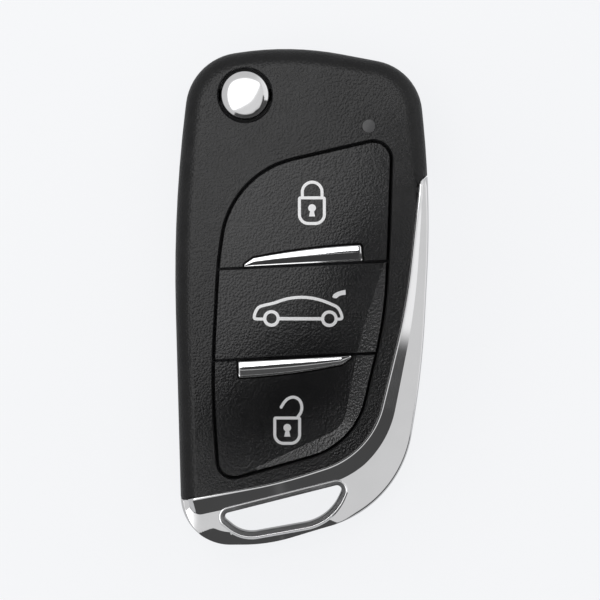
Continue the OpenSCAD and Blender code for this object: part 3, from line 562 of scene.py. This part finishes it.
def trim_flange(rail, edge, room, flange_z):
    """Flange swept between rail and edge. It falls evenly by the crown, turns down at the edge in a quarter
    round of radius r, z = crown - r + (r^2 - (r - inward)^2)^0.5, and is cut by the bar's slanted plane."""
    turn_share, crown_share, end_taper, least_slope = 0.8, 0.1, 0.7, 0.2
    turn_max, turn_steps, level_steps = 2.2, 33, 10
    w, top, way = room[:, None], flange_z[:, None], unit(edge - rail)
    x, y = edge.T
    on_bar = ease((x - LEFT - 1) / 2) * ease((BAR_FADE_X - x) / BAR_FADE) * (y < BAR_EDGE_TOP)
    r = np.minimum(FLANGE_R + (BAR_R - FLANGE_R) * on_bar[:, None], turn_share * w)
    rim_z = top - np.minimum(CROWN, crown_share * w)

    to_line = (BAR_LINE[0] + BAR_LINE[1] * x - y) / (BAR_LINE[1] * way[:, 0] - way[:, 1])
    face_w = np.clip(np.minimum(to_line, end_taper * (BAR_END - x)), 0, BAR_FACE_MAX)
    face_w = np.where(y < BAR_FACE_TOP, face_w, 0)[:, None]
    fall = unit(np.array([BAR_LINE[1], -1.0]))
    slope = math.tan(BAR_SLANT) * np.clip(way @ fall, least_slope, 1)[:, None]

    turn = np.linspace(0, math.pi / 2, turn_steps)
    inward = np.minimum(turn_max, turn_share * w) * (1 - np.sin(turn))[None]
    crown_z = rim_z + (top - rim_z) * np.clip((inward - r) / (w - r), 0, 1)
    round_z = crown_z - r + np.sqrt(r ** 2 - np.clip(r - inward, 0, r) ** 2)
    face_z = rim_z + (inward - face_w) * slope
    turn_w, turn_z = w - inward, np.minimum(round_z, face_z)

    start = 0.1 * np.minimum(1, w)
    across = np.linspace(0, 1, level_steps)[None, :-1]
    half = np.stack([
        np.concatenate([start + (turn_w[:, :1] - start) * across, turn_w], 1),
        np.concatenate([top + (turn_z[:, :1] - top) * across, turn_z], 1)], 2)
    return set_up(rail, way, mirrored(half))


def chrome_trim(n=300):
    """Flange joined to the ridge of lip and bevel, with the keyring slot cut through both faces."""
    t = np.linspace(0, 1, n)
    rail, edge = trim_curves(n)
    room = np.linalg.norm(edge - rail, axis=1)
    sink = edge_drop(room)
    flange_z = FACE_Z - np.maximum(BEVEL_DROP * np.minimum(1, t / BEVEL_RUN), sink + FLANGE_MIN_DROP)
    trim = swept("chrome_trim_skin", trim_flange(rail, edge, room, flange_z), trim_chrome)
    ridge = swept("trim_ridge", trim_ridge(t, rail, room, FACE_Z - sink, flange_z), trim_chrome)
    cutter = swept("slot_cutter", slot_rings(), trim_chrome)
    combined(trim, ridge, "UNION")
    combined(trim, cutter, "DIFFERENCE")
    finished(trim, trim_chrome, "housing", ("chrome_trim",), 20)


def raised(steps, base):
    """Steps (w, z) with their heights counted from a base."""
    return [(w, base + z) for w, z in steps]


def turned_over(steps):
    """Steps (w, z) mirrored to the trim's back."""
    return [(w, 2 * TRIM_MID - z) for w, z in steps]


def round_slot(steps, n=240):
    """Rings round the slot's outline: for each step (w, z), the outline moved outward by w, at height z."""
    outline = even(rounded(SLOT), n, True)
    w, z = np.array(steps, float).T
    plan = outline[None] + outward(outline, True)[None] * w[:, None, None]
    return np.concatenate([plan, np.broadcast_to(z[:, None, None], (len(w), n, 1))], 2)


def slot_rings():
    """Rings that cut the keyring slot: its outline through the middle, wider by the chamfer at both faces."""
    front = [(0, TRIM_MID), *raised(SLOT_CUT, SLOT_FOOT)]
    return round_slot(turned_over(front[:0:-1]) + front)


def slot_lining():
    """Dark satin lining of the slot, a closed ring whose section follows the wall and both chamfers, and a
    bright bead round each mouth, level all round, so that it stands out where the flange falls away."""
    front = raised(LINING, SLOT_FOOT)
    swept("slot_lining", round_slot(front + turned_over(front[::-1])), lining_metal,
          "housing", loop=True)
    bead = raised(BEAD, BEAD_CREST)
    for name, steps in (("front_slot_bead", bead), ("back_slot_bead", turned_over(bead))):
        swept(name, round_slot(steps), trim_chrome, "housing", loop=True)


# Flat ribbons and patches on the caps

def filled(outline):
    """Flat patch inside an outline, with a thin edge."""
    n = len(outline)
    rings = np.stack([np.column_stack([outline, np.full(n, CAP_TOP + z)]) for z in (-PAINT, PAINT)])
    return rings.reshape(-1, 3), tube_faces(2, n)


def stroke(path, closed, width=STROKE):
    """Flat ribbon along a path: its edges lie half the width to each side, and open ends are rounded."""
    step = 0.12
    path = even(path, max(24, int(lengths(path)[-1] / step)), closed)
    side = outward(path, closed) * width / 2
    if closed:
        n = len(path)
        rings = np.stack([
            np.column_stack([path + k * side, np.full(n, CAP_TOP + z)])
            for k, z in ((1, -PAINT), (1, PAINT), (-1, PAINT), (-1, -PAINT))])
        return rings.reshape(-1, 3), tube_faces(4, n, True)
    ends = []
    for at, s in ((path[-1], side[-1]), (path[0], -side[0])):
        first = math.degrees(math.atan2(s[1], s[0]))
        ends.append(arc(at, width / 2, first, first - 180, 10)[1:-1])
    return filled(np.concatenate([path + side, ends[0], (path - side)[::-1], ends[1]]))


# Chrome bars and release button

def accent_width(u, length):
    """Width of a bar at distance u from its wide end: a parabola that narrows, cut off by the slanted tip,
    with a rounded upper corner."""
    c = ACCENT_CORNER
    corner = c - np.sqrt(c * c - np.clip(c - u, 0, c) ** 2)
    return np.minimum(
        ACCENT_W - (ACCENT_W - ACCENT_TIP) * (u / length) ** 2,
        ACCENT_TIP_END + ACCENT_TIP * (length - u) / ACCENT_SLANT) - corner


def along_seam(x, y, end_x, line_y, half_turn):
    """Plan of places x along a bar and y across it: turned by the seams' tilt, and by half a turn more if
    the bar hangs below its seam."""
    turn = LINE_TILT + (math.pi if half_turn else 0)
    return (
        end_x + x * math.cos(turn) - y * math.sin(turn),
        line_y + math.tan(LINE_TILT) * end_x + x * math.sin(turn) + y * math.cos(turn))


def bar_painted_shade(name, body, end_x, line_y, length, half_turn):
    """Thin black strip round the three free sides of a bar, painted shade in place of the shadow in the gap
    round it:
    the bar's outline less its side on the seam, moved outward by half the strip's width, as a flat ribbon."""
    u = np.linspace(0, length, 120)[::-1]
    x = np.concatenate([[-length], -u, [0]])
    y = np.concatenate([[0], accent_width(u, length), [0]])
    path = even(np.stack(along_seam(x, y, end_x, line_y, half_turn), 1), 240)
    points, faces = stroke(path + outward(path) * PAINTED_SHADE_W / 2, False, PAINTED_SHADE_W)
    piece(name, points, faces, painted_shade_black, body, (), 30)


def accent_bar(name, node, body, end_x, line_y, length, half_turn):
    """Bar whose section is a small rim, a slanted face, a soft crest and a flatter face; it falls away in a
    quarter round at both ends, where it is also lower and narrower."""
    end, end_lift, end_narrowing, bed_gap = 0.3, 0.35, 0.16, 0.01
    turn_in = end * (1 - np.cos(np.linspace(0, math.pi / 2, 9)))
    u = np.concatenate([
        turn_in, np.linspace(end, length - ACCENT_SLANT, 60)[1:-1],
        np.linspace(length - ACCENT_SLANT, length - end, 12), length - turn_in[::-1][1:]])
    w = accent_width(u, length)[:, None]
    near = np.clip(np.minimum(u, length - u) / end, 0, 1)
    drawn = np.sqrt(1 - (1 - near) ** 2)[:, None]

    size = (ACCENT_W, ACCENT_RISE)
    corners = np.array([[[0, 0], [0, 0.18], [0.11, 0.18], [0.53, 1], [0.95, 0.71], [1, 0]]])
    section = softened(corners * size, (0, 0.08, 0.06, 0.35, 0.2, 0), 9)[0] / size
    v, z = section.T[:, None]
    foot = np.arange(v.shape[1]) % (v.shape[1] - 1) == 0
    y = w * (v + (0.5 - v) * end_narrowing * (1 - drawn))
    if half_turn:
        y = w - y
    lift = ACCENT_RISE * w / ACCENT_W * (end_lift + (1 - end_lift) * drawn)
    height = np.where(foot[None], CAP_TOP - ACCENT_BED + bed_gap, CAP_TOP + lift * z)
    x = np.broadcast_to(-u[:, None], y.shape)
    grid = np.stack([*along_seam(x, y, end_x, line_y, half_turn), height], 2)
    swept(name, grid, accent_chrome, body, (node,))


def release_button():
    """Dome revolved about the pivot: a cylinder and a crown that is nearly flat on top and rounder towards
    the edge, height = rise (1 - (r / R)^2.7)^0.5."""
    base = DOME_CREST - DOME_RISE
    share = np.sin(np.linspace(math.pi / 2, 0, 44))[:-1]
    crown = np.stack([DOME_R * share, base + DOME_RISE * np.sqrt(1 - share ** DOME_POWER)], 1)
    profile = [[DOME_R, DOME_FOOT], [DOME_R, base - 0.05], *crown, [0.02, DOME_CREST]]
    revolved("release_button_dome", profile, PIVOT, 120, release_chrome,
             "release", ("flip_button",))


def seat_cutter():
    """Drum that opens the front shell round the release button, widening by a small break at the face."""
    r, wide_r, floor = 4.0, 4.08, 9.5
    profile = [[r, floor], [r, BODY_T - 0.06], [wide_r, BODY_T + 0.02], [wide_r, BODY_T + 1]]
    return revolved("seat_cutter", profile, PIVOT, 96, shell_plastic)


def light_window_face():
    """Light pipe revolved about the window's middle, with a wider head and a softly rounded flush end."""
    pipe_r, head_r = 0.95, 1.02
    profile = [
        [pipe_r, 8.6], [pipe_r, 13.5], [head_r, 13.6], [head_r, 13.95],
        [0.98, BODY_T], [0.5, BODY_T + 0.02], [0.01, BODY_T + 0.03]]
    revolved("light_window_face", profile, WINDOW, 64, window_plastic,
             "housing", ("light_window",))


# Printed signs

def sign(name, body, strokes):
    """One object from several strokes and patches of paint."""
    points, faces, count = [], [], 0
    for k, (p, f) in enumerate(strokes):
        points.append(p + (0, 0, LAYER * k))
        faces += [[i + count for i in face] for face in f]
        count += len(p)
    piece(name, np.concatenate(points), faces, glowing_sign_finish, body, (), 30)


def lock_body(left, right, top, bottom):
    """Outline of a padlock's body: square above and rounded below."""
    upper_r, lower_r = 0.12, 1.35
    return rounded([
        [left, top, upper_r], [right, top, upper_r], [right, bottom, lower_r], [left, bottom, lower_r]])


def keyhole(x, y, low):
    """Keyhole: a disc at (x, y) with a stem that widens down to the height low."""
    r, half_stem = 0.58, 0.46
    return np.concatenate([arc((x, y), r, 240, -60), [[x + half_stem, low], [x - half_stem, low]]])


def signs():
    """Closed padlock, car with a raised lid, and open padlock on the three caps."""
    left, right, foot, spring = 0.045, 3.024, 15.181, 15.847
    bow = arc(((left + right) / 2, spring), (right - left) / 2, 180, 0)
    shackle = np.concatenate([[[left, foot]], bow, [[right, foot]]])
    sign("closed_padlock_sign", "lock", [
        stroke(lock_body(-0.393, 3.372, 14.97, 11.099), True), stroke(shackle, False),
        filled(keyhole(1.512, 13.427, 12.157))])

    roof = np.array([
        (-5.746, -3.327), (-6.804, -3.327), (-7.228, -3.266), (-7.198, -2.722), (-6.865, -1.905),
        (-6.442, -1.452), (-5.444, -1.179), (-4.113, -0.907), (-2.843, -0.408), (-1.663, -0.151),
        (-0.605, -0.045), (0.605, -0.045), (1.815, -0.212), (3.024, -0.514), (4.309, -1.028),
        (5.383, -1.512), (5.837, -2.268), (6.079, -3.115), (5.897, -3.342), (5.217, -3.342)])
    lid = np.array([
        (4.567, 0), (4.748, 0.393), (5.262, 0.726), (5.897, 0.953), (6.563, 1.074), (6.593, 0.333),
        (6.018, 0.287), (5.565, 0.106), (5.232, -0.181), (4.839, -0.181)])
    sill = np.array([(-3.584, -3.266), (3.115, -3.296)])
    wheels, wheel_r = [(-4.612, -3.236), (4.128, -3.281)], 1.02
    sign("open_boot_sign", "boot", [
        stroke(smoothed(roof), False), stroke(sill, False, SILL_STROKE), filled(lid),
        *[stroke(arc(middle, wheel_r, 0, 352.8, 50), True, WHEEL_STROKE) for middle in wheels]])

    open_bow = np.array([
        (-0.665, -18.145), (-0.091, -17.359), (0, -16.421), (-0.272, -15.635), (-0.847, -15.181),
        (-1.512, -15.091), (-2.208, -15.363), (-2.722, -15.907), (-3.145, -16.633)])
    sign("open_padlock_sign", "unlock", [
        stroke(lock_body(-4.113, -0.363, -18.266, -22.092), True), stroke(smoothed(open_bow), False),
        filled(keyhole(-2.223, -19.733, -21.079))])


# The fob

for node, material, body, slot, sharp in (
        ("front_shell", shell_plastic, "housing", "shell_plastic", 32),
        ("rear_shell", shell_plastic, "housing", "shell_plastic", 32),
        ("lock_button", cap_plastic, "lock", "cap_plastic", 6),
        ("boot_button", cap_plastic, "boot", "cap_plastic", 6),
        ("unlock_button", cap_plastic, "unlock", "cap_plastic", 6),
        ("flip_head", head_plastic, "flip", "head_plastic", 32),
        ("key_blade", blade_steel, "flip", "blade_steel", 32)):
    smooth_solid(node, material, body, sharp, seat_cutter() if node == "front_shell" else None)

chrome_trim()
slot_lining()
accent_bar("upper_accent_bar", "upper_accent", "lock", *UPPER_BAR)
bar_painted_shade("upper_bar_painted_shade", "lock", *UPPER_BAR)
accent_bar("lower_accent_bar", "lower_accent", "unlock", *LOWER_BAR)
bar_painted_shade("lower_bar_painted_shade", "unlock", *LOWER_BAR)
release_button()
light_window_face()
signs()

for node, material in {
        "silicone_mat": mat_silicone, "lock_plunger": plunger_plastic, "boot_plunger": plunger_plastic,
        "unlock_plunger": plunger_plastic, "lock_switch": switch_metal, "boot_switch": switch_metal,
        "unlock_switch": switch_metal, "circuit_board": board_laminate, "status_led": led_body,
        "control_chip": chip_plastic, "radio_crystal": crystal_can, "antenna_coil": coil_ferrite,
        "transponder": transponder_resin, "coin_cell": cell_steel, "positive_contact": contact_metal,
        "negative_contact": contact_metal, "blade_pin": pin_steel, "flip_spring": spring_steel}.items():
    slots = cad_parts[node].data.materials
    slots.clear()
    slots.append(material)


# Floor, light and camera, in metres

FLOOR_HALF, FLOOR_Z = 2.0, -0.0002
PAPER, PAPER_MATTE = (0.945, 0.954, 0.972, 1), (0.86, 0.865, 0.875, 1)
SKY = 0.56
LIGHT_HALF, LIGHT_HEIGHT = 0.26, 0.35
CORNER_LIGHT = 17
CARD_HEIGHT, CARD_GLOW = 0.04, 0.04
CARD = [
    [10.5, 33, 2.4], [18.2, 28, 4], [16.8, 2, 20], [12, -24, 9], [-6, -29.5, 10], [-19.5, -27, 4.5],
    [-18.5, -13.5, 4], [-4.6, -2.6, 0.3], [8.4, -1.5, 0.5], [8.4, 0.7, 0.5], [-0.9, 0.1, 0.3],
    [2, 2.5, 3], [4.8, 12.6, 1], [10.4, 13.6, 0.8]]
TO_LOWER_RIGHT, TO_UPPER_RIGHT = (0.7071, -0.7071, 0), (0.7071, 0.7071, 0)
CAMERA_HEIGHT, KEYPAD_HEIGHT, SENSOR = 1.2, 0.012, 36
PICTURE_W, PICTURE_MIDDLE = 90.726 * MM, (-0.30242 * MM, -0.45363 * MM)


def staged(name, outline, height):
    """Flat piece of the stage inside an outline, with its object and a wire of its own material."""
    mesh = bpy.data.meshes.new(name)
    mesh.from_pydata([(x, y, height) for x, y in outline], [], [list(range(len(outline)))])
    obj = bpy.data.objects.new(name, mesh)
    bpy.context.scene.collection.objects.link(obj)
    material = bpy.data.materials.new(name)
    material.use_nodes = True
    mesh.materials.append(material)
    return obj, Wire(material.node_tree)


def surface(wire):
    """Input for the surface of a wire's material."""
    return wire.tree.nodes["Material Output"].inputs["Surface"]


def paper_floor():
    """Pale paper under the fob: mostly even white to the camera, a pale grey in reflections, with a part that
    takes shadow."""
    even_share, dimmed = 0.88, 0.42
    h = FLOOR_HALF
    _, wire = staged("paper_floor", [(-h, -h), (h, -h), (h, h), (-h, h)], FLOOR_Z)
    shader = wire.tree.nodes["Principled BSDF"]
    shader.inputs["Base Color"].default_value = PAPER_MATTE
    shader.inputs["Roughness"].default_value = 0.9
    seen, reflected = (wire.node("LightPath", None, None, ray) for ray in ("Is Camera Ray", "Is Glossy Ray"))
    glow = wire.node("Emission", None, {"Color": PAPER, "Strength": 1 - reflected * dimmed})
    matte = Wire(wire.tree, shader.outputs[0])
    mixed = wire.node("MixShader", None, {0: (seen + reflected) * even_share, 1: matte, 2: glow})
    mixed.into(surface(wire))


def studio_sky():
    """Dim studio with brighter walls on the right, brightest near the floor, and beyond the keyring end a
    dark side up to about 45 degrees, with a paler streak in it."""
    dark_level, streak_level, wall_level, wall_foot_level, brightest = 0.065, 0.25, 0.25, 0.2, 0.95
    world = bpy.data.worlds.new("studio")
    bpy.context.scene.world = world
    world.use_nodes = True
    tree = world.node_tree
    wire = Wire(tree)
    way = wire.node("TexCoord", None, None, "Generated")
    flat = wire.node("VectorMath", {"operation": "MULTIPLY"}, {0: way, 1: (1, 1, 0)})
    flat = wire.node("VectorMath", {"operation": "NORMALIZE"}, {0: flat})
    z = way.part(2)
    dark = flat.along((0.4, -0.917, 0)).between(0.575, 0.61) * z.between(0.76, 0.68)
    dim = dark_level + streak_level * flat.along((0.233, -0.972, 0)).between(0.9994, 1.0)
    walls = (wall_level + wall_foot_level * z.between(0.4, 0.15)) * flat.part(0).between(0.4, 0.9)
    bright = wire.math("MINIMUM", SKY + walls, brightest)
    background = tree.nodes["Background"]
    background.inputs["Color"].default_value = (1, 1, 1, 1)
    (bright * (1 - dark) + dim * dark).into(background.inputs["Strength"])


def sheet(name, outline, height, shadow=False):
    """Sheet above the fob that the camera looks through."""
    obj, wire = staged(name, outline, height)
    obj.visible_camera = False
    obj.visible_shadow = shadow
    wire.tree.nodes.remove(wire.tree.nodes["Principled BSDF"])
    return obj, wire


def light_sheet(name, height):
    """Square sheet for a light overhead."""
    h = LIGHT_HALF
    return sheet(name, [(-h, -h), (-h, h), (h, h), (h, -h)], height)


def softbox():
    """Large soft light overhead, brighter towards the release button and cut off slantwise past the slot."""
    low_level, high_level = 0.67, 2.6
    _, wire = light_sheet("softbox", LIGHT_HEIGHT)
    place = wire.node("TexCoord", None, None, "Object")
    x, y, across = place.part(0), place.part(1), place.along(TO_LOWER_RIGHT)
    level = low_level + high_level * across.between(0.025, -0.04)
    inside = across.between(0.21, 0.17) * x.between(-0.26, -0.10) * y.between(0.26, 0.10)
    wire.node("Emission", None, {"Strength": SKY + (level - SKY) * inside}).into(surface(wire))


def corner_light():
    """Small bright light that only the black plastic takes, so that the caps' slanted corners stand out and
    the chrome doesn't mirror it."""
    obj, wire = light_sheet("corner_light", LIGHT_HEIGHT - 0.001)
    place = wire.node("TexCoord", None, None, "Object")
    across, along = place.along(TO_LOWER_RIGHT), place.along(TO_UPPER_RIGHT)
    spot = across.between(0.10, 0.14) * across.between(0.21, 0.17)
    spot = spot * along.between(0.025, -0.005) * along.between(-0.075, -0.035)
    glow = wire.node("Emission", None, {"Strength": CORNER_LIGHT * spot})
    clear = wire.node("BsdfTransparent")
    wire.node("AddShader", None, {0: clear, 1: glow}).into(surface(wire))
    takers = bpy.data.collections.new("black_plastic")
    for name in BLACK_FACE:
        takers.objects.link(bpy.data.objects[name + "_skin"])
    obj.light_linking.receiver_collection = takers


def dark_card():
    """Dark card close over the right side and the lower caps, cut out where the bars' upper faces mirror the
    soft light."""
    _, wire = sheet("dark_card", rounded(CARD) * MM, CARD_HEIGHT, shadow=True)
    wire.node("Emission", None, {"Strength": CARD_GLOW}).into(surface(wire))


def camera():
    """Long lens straight above the fob, whose picture is PICTURE_W wide at the keypad."""
    lens = bpy.data.cameras.new("camera")
    lens.sensor_width = SENSOR
    lens.lens = SENSOR * (CAMERA_HEIGHT - KEYPAD_HEIGHT) / PICTURE_W
    lens.clip_end = 10
    obj = bpy.data.objects.new("camera", lens)
    bpy.context.scene.collection.objects.link(obj)
    obj.location = (*PICTURE_MIDDLE, CAMERA_HEIGHT)
    bpy.context.scene.camera = obj


paper_floor()
studio_sky()
softbox()
corner_light()
dark_card()
camera()
bpy.context.scene.view_settings.view_transform = "Standard"
